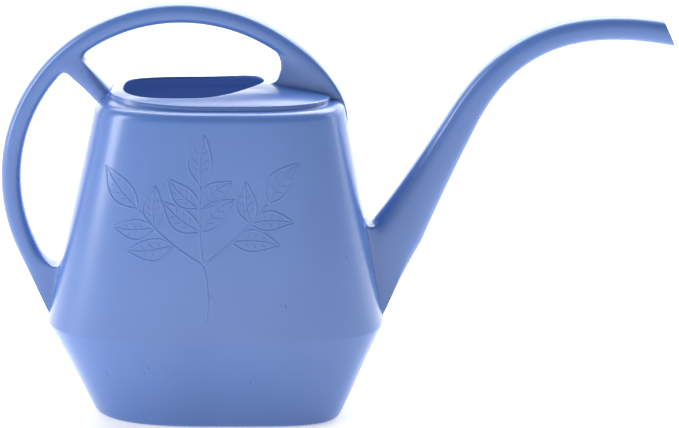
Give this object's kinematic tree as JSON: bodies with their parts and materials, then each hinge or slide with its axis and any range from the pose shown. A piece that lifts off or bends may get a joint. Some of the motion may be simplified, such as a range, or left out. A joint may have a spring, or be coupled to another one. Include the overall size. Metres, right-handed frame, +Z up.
{
  "type": "watering can",
  "caption": "Blow-moulded watering can with a flared tub, an open domed mouth, a hoop handle with a strut and a long tapering spout.",
  "frame": {"origin": "centre of the base outline, on the base's underside", "axes": "+X towards the spout, +Y across the can, +Z up; the handle and spout lie in the XZ plane"},
  "size_m": [0.3893, 0.1024, 0.2431],
  "materials": {
    "blue_plastic": "semi-gloss moulded, with faint drag marks"
  },
  "bodies": {
    "root": {"base_panel": "blue_plastic", "tub_shell": "blue_plastic", "body_shell": "blue_plastic", "shoulder": "blue_plastic", "mouth_dome": "blue_plastic", "handle_front_root": "blue_plastic", "handle_hoop": "blue_plastic", "handle_rear_root": "blue_plastic", "handle_strut": "blue_plastic", "spout_root": "blue_plastic", "spout_neck": "blue_plastic", "spout_bend": "blue_plastic", "spout_tip": "blue_plastic"}
  },
  "joints": []
}
